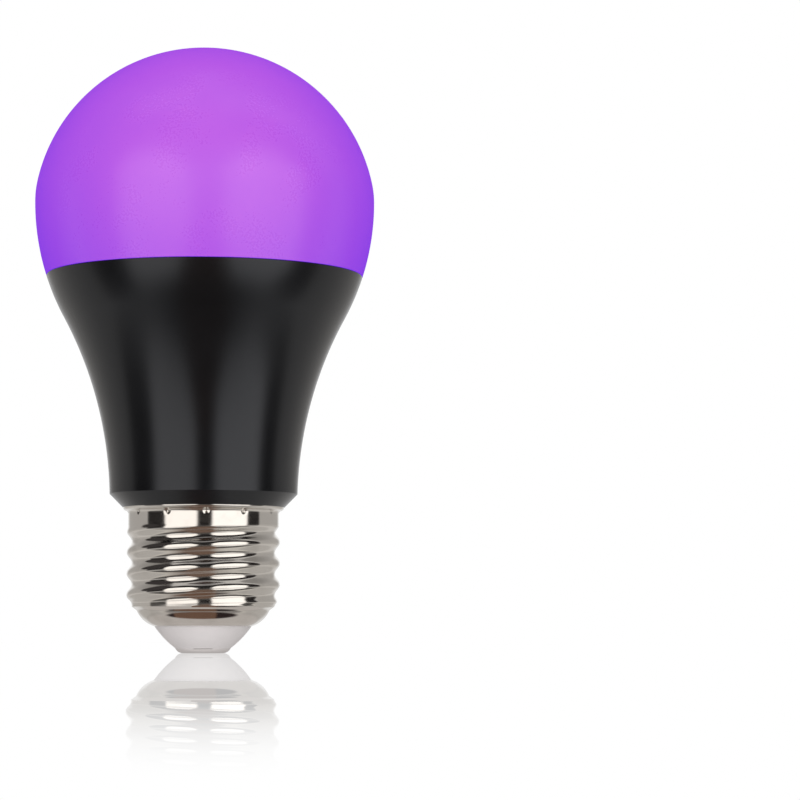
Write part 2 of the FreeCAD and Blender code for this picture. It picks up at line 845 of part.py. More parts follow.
def choke_winding():
    middle = (0.0, core_y, core_middle_z)
    height = core_room - 2 * bobbin_flange
    in_x = tube_half_x + bobbin_tube
    in_y = tube_half_y + bobbin_tube
    outer = block((2 * (in_x + winding_depth), 2 * (in_y + winding_depth), height), middle)
    uprights = [e for e in outer.Edges if e.BoundBox.ZLength > height / 2]
    outer = outer.makeFillet(winding_depth - push_fit, uprights)
    return outer.cut(block((2 * in_x, 2 * in_y, 2 * height), middle))


# The fusible resistor on the live side, from the centre contact up to the board
def fuse_resistor():
    y = -driver_face - lead_d / 2
    top = fuse_z + fuse_length
    body = rounded_rod(fuse_d, fuse_length, fuse_edge)
    body.translate(Vector(0, 0, fuse_z))
    lower = rod(lead_d, Vector(0, 0, contact_thickness / 2), Vector(0, 0, fuse_z + lead_d))
    bends = [
        Vector(0, 0, top - lead_d),
        Vector(0, 0, top + lead_d),
        Vector(0, y, top + 2 * lead_d),
        Vector(0, y, driver_bottom_z + solder_length / 2),
    ]
    return body.fuse([lower, wire_along(lead_d, bends)]).removeSplitter()


# The shrunk tube that insulates the fusible resistor
def fuse_tube():
    inner_r = fuse_d / 2 + push_fit / 2
    outer_r = inner_r + tube_wall
    low = fuse_z - tube_overhang
    high = fuse_z + fuse_length
    return turned_points([(inner_r, low), (outer_r, low), (outer_r, high), (inner_r, high)])


# The neutral lead: down from the board, under the sleeve and up against the shell
def neutral_lead():
    y = driver_face + wire_d / 2
    low_z = sleeve_bottom_z - wire_d
    places = [
        Vector(wire_x, y, driver_bottom_z + solder_length),
        Vector(wire_x, y, low_z),
        Vector(wire_x, wire_out_y, low_z),
        Vector(wire_x, wire_out_y, sleeve_bottom_z + pitch - wire_d),
    ]
    return wire_along(wire_d, places)


makers = {
    "diffuser": diffuser,
    "housing": housing,
    "screw_shell": screw_shell,
    "base_insulator": insulator,
    "centre_contact": contact,
    "heat_sink": heat_sink,
    "light_board": light_board,
    "lights": lights,
    "board_screws": board_screws,
    "output_pins": output_pins,
    "pin_socket": pin_socket,
    "driver_board": driver_board,
    "film_capacitor": film_capacitor,
    "bulk_capacitor": bulk_capacitor,
    "output_capacitor": output_capacitor,
    "bridge_rectifier": bridge_rectifier,
    "driver_chip": driver_chip,
    "chip_resistors": chip_resistors,
    "choke_core": choke_core,
    "choke_bobbin": choke_bobbin,
    "choke_winding": choke_winding,
    "fuse_resistor": fuse_resistor,
    "fuse_tube": fuse_tube,
    "neutral_lead": neutral_lead,
}

os.makedirs("parts", exist_ok=True)
for name, make in makers.items():
    shape = make()
    shape.exportStep(f"parts/{name}.step")
    print(name, "solids", len(shape.Solids), "volume", round(shape.Volume, 1), shape.isValid())
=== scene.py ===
import math

import bmesh
import bpy
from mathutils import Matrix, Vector


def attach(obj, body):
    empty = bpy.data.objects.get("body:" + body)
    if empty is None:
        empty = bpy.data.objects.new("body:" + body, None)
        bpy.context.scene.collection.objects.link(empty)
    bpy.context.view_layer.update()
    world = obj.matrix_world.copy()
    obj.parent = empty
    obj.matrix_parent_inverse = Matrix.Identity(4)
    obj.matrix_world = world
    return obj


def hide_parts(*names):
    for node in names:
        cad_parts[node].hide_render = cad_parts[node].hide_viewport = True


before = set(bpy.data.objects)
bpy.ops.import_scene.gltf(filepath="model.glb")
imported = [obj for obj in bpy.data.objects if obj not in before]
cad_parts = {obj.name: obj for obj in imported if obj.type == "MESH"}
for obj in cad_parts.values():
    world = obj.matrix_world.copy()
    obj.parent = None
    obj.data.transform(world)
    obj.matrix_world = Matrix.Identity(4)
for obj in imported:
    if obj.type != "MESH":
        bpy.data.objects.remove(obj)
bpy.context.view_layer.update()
print("frame loaded:", len(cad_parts), "nodes")

# Pieces are drawn in millimetres about the bulb's axis and brought to metres at the end
millimetre = 0.001


# The camera stands low in front of the bulb and looks up a little
cameraPlace = {
    "distance": 490.0,
    "height": 4.61,
    "pitch": 4.533,
    "turn": 3.94,
    "lens": 128.27,
    "sensor": 36.0,
}

camera = bpy.data.cameras.new("camera")
camera.lens = cameraPlace["lens"]
camera.sensor_width = cameraPlace["sensor"]
camera.clip_start = 0.01
camera.clip_end = 60.0
cameraObject = bpy.data.objects.new("camera", camera)
cameraObject.location = (0.0, -cameraPlace["distance"] * millimetre, cameraPlace["height"] * millimetre)
cameraObject.rotation_euler = (
    math.radians(90.0 + cameraPlace["pitch"]),
    0.0,
    math.radians(-cameraPlace["turn"]),
)
bpy.context.scene.collection.objects.link(cameraObject)
bpy.context.scene.camera = cameraObject
bpy.context.scene.view_settings.view_transform = "Standard"
print("camera placed")


# Shader maths: an expression on these values adds the Math nodes that work it out
class Shade:
    def __init__(self, finish, socket):
        self.finish = finish
        self.socket = socket

    def math(self, operation, first, second=None):
        values = {0: first}
        if second is not None:
            values[1] = second
        made = self.finish.node("ShaderNodeMath", {"operation": operation}, values)
        return Shade(self.finish, made.outputs[0])

    def __add__(self, other):
        return self.math("ADD", self, other)

    def __radd__(self, other):
        return self.math("ADD", other, self)

    def __sub__(self, other):
        return self.math("SUBTRACT", self, other)

    def __rsub__(self, other):
        return self.math("SUBTRACT", other, self)

    def __mul__(self, other):
        return self.math("MULTIPLY", self, other)

    def __rmul__(self, other):
        return self.math("MULTIPLY", other, self)

    def __truediv__(self, other):
        return self.math("DIVIDE", self, other)

    def __rtruediv__(self, other):
        return self.math("DIVIDE", other, self)

    def root(self):
        return self.math("SQRT", self)

    def size(self):
        return self.math("ABSOLUTE", self)

    def below(self, level):
        return self.math("LESS_THAN", self, level)

    def largest(self, other):
        return self.math("MAXIMUM", self, other)


# A finish is one material and the tree that it is grown on
class Finish:
    def __init__(self, name, world=None):
        self.material = world or bpy.data.materials.new(name)
        self.material.use_nodes = True
        self.tree = self.material.node_tree
        self.tree.nodes.clear()
        kind = "World" if world else "Material"
        self.output = self.tree.nodes.new("ShaderNodeOutput" + kind)
        places = self.node("ShaderNodeTexCoord").outputs
        if world:
            self.place = places["Generated"]
        else:
            sockets = {0: places["Object"], "Scale": 1.0 / millimetre}
            self.place = self.node("ShaderNodeVectorMath", {"operation": "SCALE"}, sockets).outputs[0]

    def node(self, kind, settings=None, sockets=None):
        made = self.tree.nodes.new(kind)
        for key, value in (settings or {}).items():
            setattr(made, key, value)
        for key, value in (sockets or {}).items():
            if isinstance(value, Shade):
                value = value.socket
            if isinstance(value, bpy.types.NodeSocket):
                self.tree.links.new(value, made.inputs[key])
            else:
                made.inputs[key].default_value = value
        return made

    def shade(self, socket):
        return Shade(self, socket)

    def axes(self):
        split = self.node("ShaderNodeSeparateXYZ", None, {0: self.place})
        return [self.shade(split.outputs[i]) for i in range(3)]

    # Cloudy noise whose patches are about a size in millimetres; stretch squeezes it along an axis
    def noise(self, size, detail=2.0, stretch=(1.0, 1.0, 1.0), roughness=0.5):
        shaped = self.node("ShaderNodeMapping", None, {"Vector": self.place, "Scale": stretch})
        sockets = {"Vector": shaped.outputs[0], "Scale": 1.0 / size, "Detail": detail, "Roughness": roughness}
        return self.shade(self.node("ShaderNodeTexNoise", None, sockets).outputs[0])

    # A value brought from one range into another, smoothly and without running past either end
    def ranged(self, value, low, high, start, end):
        settings = {"interpolation_type": "SMOOTHSTEP"}
        sockets = {"Value": value, "From Min": low, "From Max": high, "To Min": start, "To Max": end}
        return self.shade(self.node("ShaderNodeMapRange", settings, sockets).outputs[0])

    def rising(self, value, low, high):
        return self.ranged(value, low, high, 0.0, 1.0)

    def falling(self, value, low, high):
        return self.ranged(value, low, high, 1.0, 0.0)

    # One between two limits and nothing outside them, with soft ends
    def band(self, value, low, high, soft):
        rise = self.rising(value, low - soft / 2, low + soft / 2)
        return rise * self.falling(value, high - soft / 2, high + soft / 2)

    def colours(self, first, second, factor):
        settings = {"data_type": "RGBA"}
        made = self.node("ShaderNodeMix", settings, {0: factor, 6: first, 7: second})
        return made.outputs[2]

    def bump(self, height, depth, strength=1.0):
        sockets = {"Height": height, "Distance": depth * millimetre, "Strength": strength}
        return self.node("ShaderNodeBump", None, sockets).outputs[0]

    def surface(self, sockets):
        made = self.node("ShaderNodeBsdfPrincipled", None, sockets)
        self.tree.links.new(made.outputs[0], self.output.inputs[0])
        return self.material


# Drawing in the side view: the pen's points have an x out from the axis and a height z
class Pen:
    def __init__(self, x, z):
        self.mesh = bmesh.new()
        self.tip = self.mesh.verts.new((x, 0.0, z))

    def line(self, x, z, steps=1):
        start = self.tip.co.copy()
        for i in range(steps):
            made = bmesh.ops.extrude_vert_indiv(self.mesh, verts=[self.tip])
            self.tip = made["verts"][0]
            self.tip.co = start.lerp(Vector((x, 0.0, z)), (i + 1) / steps)
        return self

    # Swings the tip about a centre, upwards for a positive number of degrees
    def arc(self, x, z, degrees, steps):
        made = bmesh.ops.spin(
            self.mesh,
            geom=[self.tip],
            cent=(x, 0.0, z),
            axis=(0.0, 1.0, 0.0),
            angle=-math.radians(degrees),
            steps=steps,
            use_merge=False,
        )
        self.tip = [v for v in made["geom_last"] if isinstance(v, bmesh.types.BMVert)][0]
        return self

    # A curve from the tip through a point to another
    def curve(self, through, end, steps):
        start = (self.tip.co.x, self.tip.co.z)
        centre = circleThrough(start, through, end)
        swing = turnTo(centre, *end) - turnTo(centre, *start)
        return self.arc(*centre, (swing + 180.0) % 360.0 - 180.0, steps)

    # Turns what was drawn about the bulb's axis
    def turned(self, segments):
        mesh = self.mesh
        bmesh.ops.spin(
            mesh,
            geom=mesh.verts[:] + mesh.edges[:],
            cent=(0.0, 0.0, 0.0),
            axis=(0.0, 0.0, 1.0),
            angle=2.0 * math.pi,
            steps=segments,
            use_merge=True,
        )
        bmesh.ops.remove_doubles(mesh, verts=mesh.verts, dist=0.0005)
        bmesh.ops.recalc_face_normals(mesh, faces=mesh.faces)
        return mesh


# Angle above the horizon from a centre to a point, in degrees
def turnTo(centre, x, z):
    return math.degrees(math.atan2(z - centre[1], x - centre[0]))


# Centre of the circle through three points of the side view
def circleThrough(*points):
    a, b, c = [Vector(point) for point in points]
    squares = [point.length_squared for point in (a, b, c)]
    area = 2 * (a.x * (b.y - c.y) + b.x * (c.y - a.y) + c.x * (a.y - b.y))
    x = (squares[0] * (b.y - c.y) + squares[1] * (c.y - a.y) + squares[2] * (a.y - b.y)) / area
    z = (squares[0] * (c.x - b.x) + squares[1] * (a.x - c.x) + squares[2] * (b.x - a.x)) / area
    return x, z


# Makes a mesh an object with one material
def placed(mesh, name, material):
    data = bpy.data.meshes.new(name)
    mesh.to_mesh(data)
    mesh.free()
    data.materials.append(material)
    made = bpy.data.objects.new(name, data)
    bpy.context.scene.collection.objects.link(made)
    return made


# Makes a drawn mesh a piece of the bulb, in metres, with edges that bend by more than its crease kept sharp
def finished(mesh, name, material, recipe):
    node = recipe["node"]
    limit = math.radians(recipe["crease"])
    bmesh.ops.scale(mesh, vec=(millimetre,) * 3, verts=mesh.verts)
    for edge in mesh.edges:
        edge.smooth = len(edge.link_faces) == 2 and edge.calc_face_angle(0.0) < limit
    for face in mesh.faces:
        face.smooth = True
    piece = placed(mesh, name, material)
    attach(piece, "root")
    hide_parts(node)
    print(name, "made:", len(piece.data.polygons), "faces")


# The outline that the dome and the housing share, from the crown down to the chamfer
outline = {
    "equatorRadius": 29.2,
    "equatorZ": 77.5,
    "crownTurn": 12.0,
    "shoulderRadius": 16.0,
    "flankRadius": 42.0,
    "neckRadius": 16.06,
    "neckZ": 25.5,
    "seamZ": 64.7,
}
shoulderX = outline["equatorRadius"] - outline["shoulderRadius"]
crownTurn = math.radians(outline["crownTurn"])
crownRadius = outline["shoulderRadius"] + shoulderX / math.cos(crownTurn)
crownZ = outline["equatorZ"] - shoulderX * math.tan(crownTurn)
flank = (outline["equatorRadius"] - outline["flankRadius"], outline["equatorZ"])
neckOut = outline["neckRadius"] - flank[0]
neckDown = outline["equatorZ"] - outline["neckZ"]
neckReach = neckOut**2 + neckDown**2 - outline["flankRadius"] ** 2
waistRadius = neckReach / (2 * (outline["flankRadius"] - neckOut))
waist = (outline["neckRadius"] + waistRadius, outline["neckZ"])
bendTurn = math.degrees(math.asin(neckDown / (outline["flankRadius"] + waistRadius)))


def flankX(z, inset=0.0):
    return flank[0] + math.sqrt((outline["flankRadius"] - inset) ** 2 - (z - flank[1]) ** 2)


def waistX(z, inset=0.0):
    return waist[0] - math.sqrt((waistRadius + inset) ** 2 - (z - waist[1]) ** 2)


# The dome: violet moulded plastic. Its blue glow is painted light, an emission that stands in for light on it, and
# it darkens towards its lower part as painted shade. In each piece's dictionary clouds, grain and streaks are
# noises, with a size in millimetres and a detail, and bump is a depth in millimetres and a strength.
dome = {
    "slot": "diffuser",
    "node": "diffuser",
    "wall": 1.5,
    "skirtRadius": 24.82,
    "skirtWall": 1.4,
    "skirtLength": 2.1,
    "edge": 0.18,
    "edgeTurn": 80.0,
    "segments": 256,
    "crownSteps": 72,
    "shoulderSteps": 20,
    "flankSteps": 22,
    "edgeSteps": 4,
    "innerCrownSteps": 18,
    "innerSteps": 6,
    "crease": 40.0,
    "body": (0.360, 0.076, 0.020, 1.0),
    "bodyDeep": (0.340, 0.072, 0.018, 1.0),
    # A darker colour for the dome's lower part: painted shade
    "low": (0.327, 0.070, 0.018, 1.0),
    "lowZ": (64.0, 78.0),
    # Painted glow: an emission colour that stands in for light
    "glow": (0.050, 0.012, 0.775, 1.0),
    "roughness": 0.28,
    "cloudSpread": 0.06,
    "grainSpread": 0.04,
    "clouds": (9.0, 2.0),
    "grain": (0.35, 3.0),
    "bump": (0.01, 0.25),
    "rim": (0.22, 0.58),
}


def domeMesh():
    wall = dome["wall"]
    seamZ = outline["seamZ"]
    edge = dome["edge"]
    skirtX = dome["skirtRadius"]
    innerX = skirtX - dome["skirtWall"]
    innerZ = seamZ + wall
    lowZ = seamZ - dome["skirtLength"]
    edgeZ = seamZ + edge
    pen = Pen(0.0, crownZ + crownRadius)
    pen.arc(0.0, crownZ, outline["crownTurn"] - 90.0, dome["crownSteps"])
    pen.arc(shoulderX, outline["equatorZ"], -outline["crownTurn"], dome["shoulderSteps"])
    pen.arc(*flank, turnTo(flank, flankX(edgeZ), edgeZ), dome["flankSteps"])
    pen.arc(flankX(edgeZ) - edge, edgeZ, -dome["edgeTurn"], dome["edgeSteps"])
    pen.line(skirtX, seamZ)
    pen.line(skirtX, lowZ)
    pen.line(innerX, lowZ)
    pen.line(innerX, innerZ)
    pen.line(flankX(innerZ, wall), innerZ)
    pen.arc(*flank, -turnTo(flank, flankX(innerZ, wall), innerZ), dome["innerSteps"])
    pen.arc(shoulderX, outline["equatorZ"], outline["crownTurn"], dome["innerSteps"])
    pen.arc(0.0, crownZ, 90.0 - outline["crownTurn"], dome["innerCrownSteps"])
    return pen.turned(dome["segments"])


def domeFinish():
    finish = Finish("violetPlastic")
    clouds = finish.noise(*dome["clouds"])
    grain = finish.noise(*dome["grain"])
    height = finish.axes()[2]
    body = finish.colours(dome["body"], dome["bodyDeep"], clouds)
    # The colour darkens below the widest point, from z 78 down to z 64: painted shade
    body = finish.colours(dome["low"], body, finish.rising(height, *dome["lowZ"]))
    roughness = dome["roughness"] + dome["cloudSpread"] * (clouds - 0.5)
    sockets = {
        "Base Color": body,
        "Roughness": roughness + dome["grainSpread"] * (grain - 0.5),
        "IOR": 1.49,
        # The emission is the painted glow
        "Emission Color": dome["glow"],
        "Emission Strength": 1.0,
        "Normal": finish.bump(grain, *dome["bump"]),
    }
    sheen = finish.node("ShaderNodeBsdfPrincipled", None, sockets)
    matt = finish.node("ShaderNodeBsdfPrincipled", None, {**sockets, "Specular IOR Level": 0.0})
    # The sheen fades towards the rim
    facing = finish.shade(finish.node("ShaderNodeLayerWeight", None, {"Blend": 0.5}).outputs["Facing"])
    rim = finish.rising(facing, *dome["rim"])
    both = finish.node("ShaderNodeMixShader", None, {0: rim, 1: sheen.outputs[0], 2: matt.outputs[0]})
    finish.tree.links.new(both.outputs[0], finish.output.inputs[0])
    return finish.material


# The housing: black moulded plastic with a waist, a chamfer at its foot and a sleeve inside the cap
housing = {
    "slot": "housing",
    "node": "housing",
    "wall": 1.8,
    "edge": 0.15,
    "chamferTopZ": 27.15,
    "chamferDepth": 2.3,
    "chamferWidth": 2.25,
    "counterboreRadius": 24.97,
    "ledgeZ": 61.5,
    "sleeveRadius": 12.5,
    "sleeveBore": 10.25,
    "sleeveStepZ": 22.0,
    "sleeveLowRadius": 11.85,
    "sleeveLowZ": 11.5,
    "segments": 256,
    "edgeSteps": 4,
    "flankSteps": 30,
    "waistSteps": 60,
    "chamferSteps": 3,
    "innerWaistSteps": 12,
    "innerFlankSteps": 8,
    "crease": 20.0,
    "dark": (0.0013, 0.0014, 0.0018, 1.0),
    "pale": (0.0024, 0.0025, 0.0031, 1.0),
    "sheen": (0.89, 0.925, 1.0, 1.0),
    "roughness": 0.25,
    "spread": 0.05,
    "clouds": (6.0, 2.0),
    "grain": (0.22, 3.0),
    "bump": (0.012, 0.3),
}


def housingMesh():
    wall = housing["wall"]
    edge = housing["edge"]
    topZ = outline["seamZ"]
    edgeZ = topZ - edge
    chamferX = waistX(housing["chamferTopZ"])
    bottomX = chamferX - housing["chamferWidth"]
    bottomZ = housing["chamferTopZ"] - housing["chamferDepth"]
    pen = Pen(housing["counterboreRadius"], topZ)
    pen.line(flankX(edgeZ) - edge, topZ)
    pen.arc(flankX(edgeZ) - edge, edgeZ, -90.0, housing["edgeSteps"])
    pen.arc(*flank, -bendTurn - turnTo(flank, flankX(edgeZ), edgeZ), housing["flankSteps"])
    waistLow = turnTo(waist, chamferX, housing["chamferTopZ"])
    pen.arc(*waist, waistLow - (180.0 - bendTurn), housing["waistSteps"])
    pen.line(bottomX, bottomZ, housing["chamferSteps"])
    pen.line(housing["sleeveRadius"], bottomZ)
    pen.line(housing["sleeveRadius"], housing["sleeveStepZ"])
    pen.line(housing["sleeveLowRadius"], housing["sleeveStepZ"])
    pen.line(housing["sleeveLowRadius"], housing["sleeveLowZ"])
    pen.line(housing["sleeveBore"], housing["sleeveLowZ"])
    pen.line(housing["sleeveBore"], bottomZ)
    pen.line(waistX(housing["chamferTopZ"], wall), housing["chamferTopZ"])
    lowTurn = turnTo(waist, waistX(housing["chamferTopZ"], wall), housing["chamferTopZ"])
    pen.arc(*waist, 180.0 - bendTurn - lowTurn, housing["innerWaistSteps"])
    ledgeTurn = turnTo(flank, flankX(housing["ledgeZ"], wall), housing["ledgeZ"])
    pen.arc(*flank, ledgeTurn + bendTurn, housing["innerFlankSteps"])
    pen.line(housing["counterboreRadius"], housing["ledgeZ"])
    pen.line(housing["counterboreRadius"], topZ)
    return pen.turned(housing["segments"])


def housingFinish():
    finish = Finish("blackPlastic")
    clouds = finish.noise(*housing["clouds"])
    grain = finish.noise(*housing["grain"])
    body = finish.colours(housing["dark"], housing["pale"], clouds)
    roughness = housing["roughness"] + housing["spread"] * (clouds - 0.5) + housing["spread"] * (grain - 0.5)
    return finish.surface({
        "Base Color": body,
        "Roughness": roughness,
        "IOR": 1.5,
        "Specular IOR Level": 0.53,
        "Specular Tint": housing["sheen"],
        "Normal": finish.bump(grain, *housing["bump"]),
    })


# The cap's shell: nickel-plated sheet with a rolled thread, a plain band, dimples and a flared lip
shell = {
    "slot": "shell_plating",
    "node": "screw_shell",
    "crestRadius": 13.1,
    "rootRadius": 12.25,
    "pitch": 3.629,
    "threadStart": 8.1,
    "lowZ": 7.9,
    "highZ": 21.9,
    "fade": 1.5,
    "steepness": 0.03,
    "sheet": 0.3,
    "bandRadius": 12.9,
    "lipReach": 0.88,
    "lipHeight": 1.1,
    "lipTopZ": 24.85,
    "bowlRadius": 12.2,
    "bowlShoulder": (11.35, 7.3),
    "bowlMiddle": (10.3, 5.75),
    "rimRadius": 8.4,
    "rimZ": 4.6,
    "innerRadius": 11.9,
    "innerLow": 0.6,
    "innerHigh": 1.0,
    "lipFold": 1.5,
    "slack": 0.01,
    "crease": 50.0,
    "dimples": 12,
    "dimpleZ": 23.92,
    "dimpleRadius": 0.66,
    "dimpleDepth": 0.29,
    "dimpleTurn": 2.0,
    "segments": 576,
    "bowlRings": 14,
    "landRings": 3,
    "threadRings": 92,
    "bandRings": 8,
    "lipRings": 10,
    "metal": (0.72, 0.69, 0.65, 1.0),
    "tarnish": (0.55, 0.52, 0.48, 1.0),
    "roughness": 0.06,
    "spread": 0.05,
    "streaks": (0.9, 3.0, (0.25, 0.25, 3.0)),
    "clouds": (4.0, 3.0),
    "cloudy": (0.45, 0.8, 0.0, 0.5),
    "bump": (0.01, 0.35),
}


def smoothStep(value):
    value = min(max(value, 0.0), 1.0)
    return value * value * (3.0 - 2.0 * value)


# Radius of the rolled sheet's outside at a height and an angle
def threadRadius(z, turn):
    mean = (shell["crestRadius"] + shell["rootRadius"]) / 2
    height = (shell["crestRadius"] - shell["rootRadius"]) / 2
    low = smoothStep((z - shell["lowZ"]) / shell["fade"])
    high = smoothStep((shell["highZ"] - z) / shell["fade"])
    phase = 2 * math.pi * (z - shell["threadStart"]) / shell["pitch"] - turn
    wave = (math.cos(phase) - shell["steepness"] * math.cos(3 * phase)) / (1 - shell["steepness"])
    level = mean + (shell["bowlRadius"] - mean) * (1 - low) + (shell["bandRadius"] - mean) * (1 - high)
    return level + height * wave * low * high


# Radius of the flared lip's outside at a height: it bends outwards and then up again
def lipX(z):
    bend = (shell["lipReach"] ** 2 + shell["lipHeight"] ** 2) / (4 * shell["lipReach"])
    drop = shell["lipTopZ"] - z
    rise = max(shell["lipHeight"] - drop, 0.0)
    if rise < drop:
        return shell["bandRadius"] + bend - math.sqrt(bend**2 - rise**2)
    return shell["bandRadius"] + shell["lipReach"] - bend + math.sqrt(bend**2 - drop**2)


# Depth of the staked dimples at a height and an angle
def dimpleDepth(z, turn):
    step = 2 * math.pi / shell["dimples"]
    offset = (turn - math.radians(shell["dimpleTurn"]) + step / 2) % step - step / 2
    away = math.hypot(offset * shell["bandRadius"], z - shell["dimpleZ"])
    return shell["dimpleDepth"] * (1 - smoothStep(away / shell["dimpleRadius"]))


def shellMesh():
    sheet = shell["sheet"]
    lipZ = shell["lipTopZ"] - shell["lipHeight"]
    pen = Pen(shell["rimRadius"], shell["rimZ"])
    pen.curve(shell["bowlMiddle"], shell["bowlShoulder"], shell["bowlRings"])
    pen.line(shell["bowlRadius"], shell["lowZ"], shell["landRings"])
    pen.line(shell["bowlRadius"], shell["highZ"], shell["threadRings"])
    pen.line(shell["bandRadius"], shell["highZ"] + shell["slack"])
    pen.line(shell["bandRadius"], lipZ, shell["bandRings"])
    quarter = shell["lipHeight"] / 4
    for low in (lipZ, lipZ + 2 * quarter):
        places = [(lipX(z), z) for z in (low + quarter, low + 2 * quarter)]
        pen.curve(*places, shell["lipRings"])
    pen.line(pen.tip.co.x - shell["lipFold"] * sheet, shell["lipTopZ"])
    pen.line(shell["bandRadius"] - sheet, lipZ + sheet)
    pen.line(shell["bandRadius"] - sheet, shell["highZ"])
    pen.line(shell["innerRadius"], shell["highZ"] - shell["innerHigh"])
    pen.line(shell["innerRadius"], shell["lowZ"] + shell["innerLow"])
    pen.line(shell["bowlMiddle"][0] - sheet, shell["bowlMiddle"][1] + sheet, shell["landRings"])
    pen.line(shell["rimRadius"], shell["rimZ"] + sheet, shell["landRings"])
    pen.line(shell["rimRadius"], shell["rimZ"])
    mesh = pen.turned(shell["segments"])
    for vert in mesh.verts:
        x, y, z = vert.co
        radius = math.hypot(x, y)
        turn = math.atan2(y, x)
        if shell["lowZ"] <= z <= shell["highZ"] and abs(radius - shell["bowlRadius"]) < shell["slack"]:
            made = threadRadius(z, turn)
        elif z > shell["highZ"] and abs(radius - lipX(z)) < shell["slack"]:
            made = radius - dimpleDepth(z, turn)
        else:
            continue
        vert.co.x *= made / radius
        vert.co.y *= made / radius
    return mesh


def shellFinish():
    finish = Finish("nickelPlate")
    streaks = finish.noise(*shell["streaks"])
    clouds = finish.noise(*shell["clouds"])
    metal = finish.colours(shell["metal"], shell["tarnish"], finish.ranged(clouds, *shell["cloudy"]))
    roughness = shell["roughness"] + shell["spread"] * streaks + shell["spread"] * clouds
    return finish.surface({
        "Base Color": metal,
        "Metallic": 1.0,
        "Roughness": roughness,
        "Normal": finish.bump(streaks, *shell["bump"]),
    })


# The insulator: a pale plug in the cap's end
insulator = {
    "slot": "insulator",
    "node": "base_insulator",
    "footRadius": 4.8,
    "lowZ": 0.8,
    "shoulderRadius": 6.6,
    "shoulderZ": 2.5,
    "neckRadius": 8.3,
    "neckZ": 4.6,
    "throatZ": 5.2,
    "collarRadius": 9.3,
    "topZ": 7.4,
    "boreRadius": 1.65,
    "edge": 0.1,
    "segments": 160,
    "coneRings": 20,
    "crease": 20.0,
    "pale": (0.74, 0.705, 0.710, 1.0),
    "dull": (0.69, 0.660, 0.665, 1.0),
    "roughness": 0.42,
    "spread": 0.08,
    "clouds": (1.6, 3.0),
    "grain": (0.12, 2.0),
    "bump": (0.01, 0.3),
}


def insulatorMesh():
    flareZ = insulator["throatZ"] + insulator["collarRadius"] - insulator["neckRadius"]
    pen = Pen(insulator["boreRadius"], insulator["lowZ"])
    pen.line(insulator["footRadius"] - insulator["edge"], insulator["lowZ"])
    pen.line(insulator["footRadius"], insulator["lowZ"] + insulator["edge"])
    shoulder = (insulator["shoulderRadius"], insulator["shoulderZ"])
    pen.curve(shoulder, (insulator["neckRadius"], insulator["neckZ"]), insulator["coneRings"])
    pen.line(insulator["neckRadius"], insulator["throatZ"])
    pen.line(insulator["collarRadius"], flareZ)
    pen.line(insulator["collarRadius"], insulator["topZ"])
    pen.line(insulator["boreRadius"], insulator["topZ"])
    pen.line(insulator["boreRadius"], insulator["lowZ"])
    return pen.turned(insulator["segments"])


def insulatorFinish():
    finish = Finish("paleInsulator")
    clouds = finish.noise(*insulator["clouds"])
    grain = finish.noise(*insulator["grain"])
    return finish.surface({
        "Base Color": finish.colours(insulator["pale"], insulator["dull"], clouds),
        "Roughness": insulator["roughness"] + insulator["spread"] * (clouds - 0.5),
        "Normal": finish.bump(grain, *insulator["bump"]),
    })


# The centre contact: a pressed disc with a hollow rivet; a short dark line at its top edge is painted shade
contact = {
    "slot": "contact_plating",
    "node": "centre_contact",
    "faceRadius": 3.5,
    "edgeRadius": 4.2,
    "edgeZ": 0.22,
    "topRadius": 4.72,
    "thickness": 0.8,
    "rivetRadius": 1.6,
    "rivetBore": 0.65,
    "topZ": 6.2,
    "segments": 128,
    "faceRings": 4,
    "edgeRings": 10,
    "crease": 30.0,
    "pale": (0.66, 0.625, 0.62, 1.0),
    "dull": (0.60, 0.57, 0.565, 1.0),
    # Painted shade: the colour of the dark line where the contact meets the insulator
    "dark": (0.20, 0.18, 0.17, 1.0),
    "paintedShadeX": (1.3, 1.9),
    "paintedShadeZ": (0.66, 0.74),
    "metallic": 0.2,
    "roughness": 0.45,
    "spread": 0.15,
    "clouds": (1.4, 3.0),
    "scuffs": (0.5, 2.0, (4.0, 0.5, 1.0)),
    "bump": (0.01, 0.3),
}


def contactMesh():
    pen = Pen(0.0, 0.0)
    pen.line(contact["faceRadius"], 0.0, contact["faceRings"])
    edge = (contact["edgeRadius"], contact["edgeZ"])
    pen.curve(edge, (contact["topRadius"], contact["thickness"]), contact["edgeRings"])
    pen.line(contact["rivetRadius"], contact["thickness"])
    pen.line(contact["rivetRadius"], contact["topZ"])
    pen.line(contact["rivetBore"], contact["topZ"])
    pen.line(contact["rivetBore"], contact["thickness"] / 2)
    pen.line(0.0, contact["thickness"] / 2)
    return pen.turned(contact["segments"])


def contactFinish():
    finish = Finish("contactPlate")
    clouds = finish.noise(*contact["clouds"])
    scuffs = finish.noise(*contact["scuffs"])
    x, _, z = finish.axes()
    plate = finish.colours(contact["pale"], contact["dull"], clouds)
    # Painted shade of the gap below the insulator: a dark line at the top edge, front and back
    paintedGapShade = finish.rising(z, *contact["paintedShadeZ"])
    paintedGapShade = paintedGapShade * finish.falling(x.size(), *contact["paintedShadeX"])
    return finish.surface({
        "Base Color": finish.colours(plate, contact["dark"], paintedGapShade),
        "Metallic": contact["metallic"],
        "Roughness": contact["roughness"] + contact["spread"] * scuffs,
        "Normal": finish.bump(scuffs, *contact["bump"]),
    })


finished(domeMesh(), "domeDiffuser", domeFinish(), dome)
finished(housingMesh(), "waistedHousing", housingFinish(), housing)
finished(shellMesh(), "capShell", shellFinish(), shell)
finished(insulatorMesh(), "capInsulator", insulatorFinish(), insulator)
finished(contactMesh(), "capContact", contactFinish(), contact)


